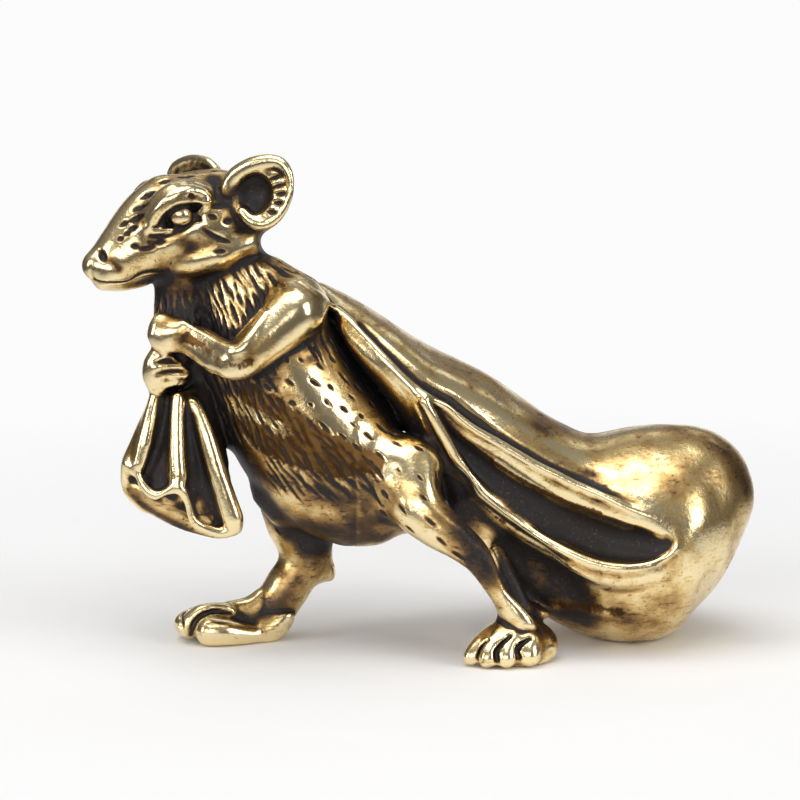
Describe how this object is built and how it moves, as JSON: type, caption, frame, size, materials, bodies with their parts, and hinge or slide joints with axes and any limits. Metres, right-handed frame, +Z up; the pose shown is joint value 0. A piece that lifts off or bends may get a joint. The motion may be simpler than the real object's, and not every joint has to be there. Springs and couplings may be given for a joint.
{
  "type": "rat figurine",
  "caption": "Small cast brass ornament of a walking rat that drags a full sack over its shoulder, gripping the gathered cloth in both fists.",
  "frame": {"origin": "middle of the bounding box, on the surface that the figurine stands on", "axes": "+X along the longest extent, from the rat's snout towards the sack, so the rat faces -X; +Z up; the rat's left side faces -Y"},
  "size_m": [0.05, 0.0212, 0.037],
  "materials": {
    "polished_brass": "polished on the high places, dark patina in the hollows",
    "antiqued_brass": "brown and black patina with rubbed ridges"
  },
  "bodies": {
    "root": {"torso": "antiqued_brass", "head": "polished_brass", "left_ear": "polished_brass", "right_ear": "polished_brass", "left_eye": "polished_brass", "right_eye": "polished_brass", "left_arm": "polished_brass", "left_hand": "polished_brass", "right_arm": "polished_brass", "right_hand": "polished_brass", "left_leg": "polished_brass", "left_foot": "polished_brass", "right_leg": "polished_brass", "right_foot": "polished_brass", "tail": "polished_brass", "sack": "polished_brass", "sack_mouth": "polished_brass", "sack_neck": "antiqued_brass"}
  },
  "joints": []
}
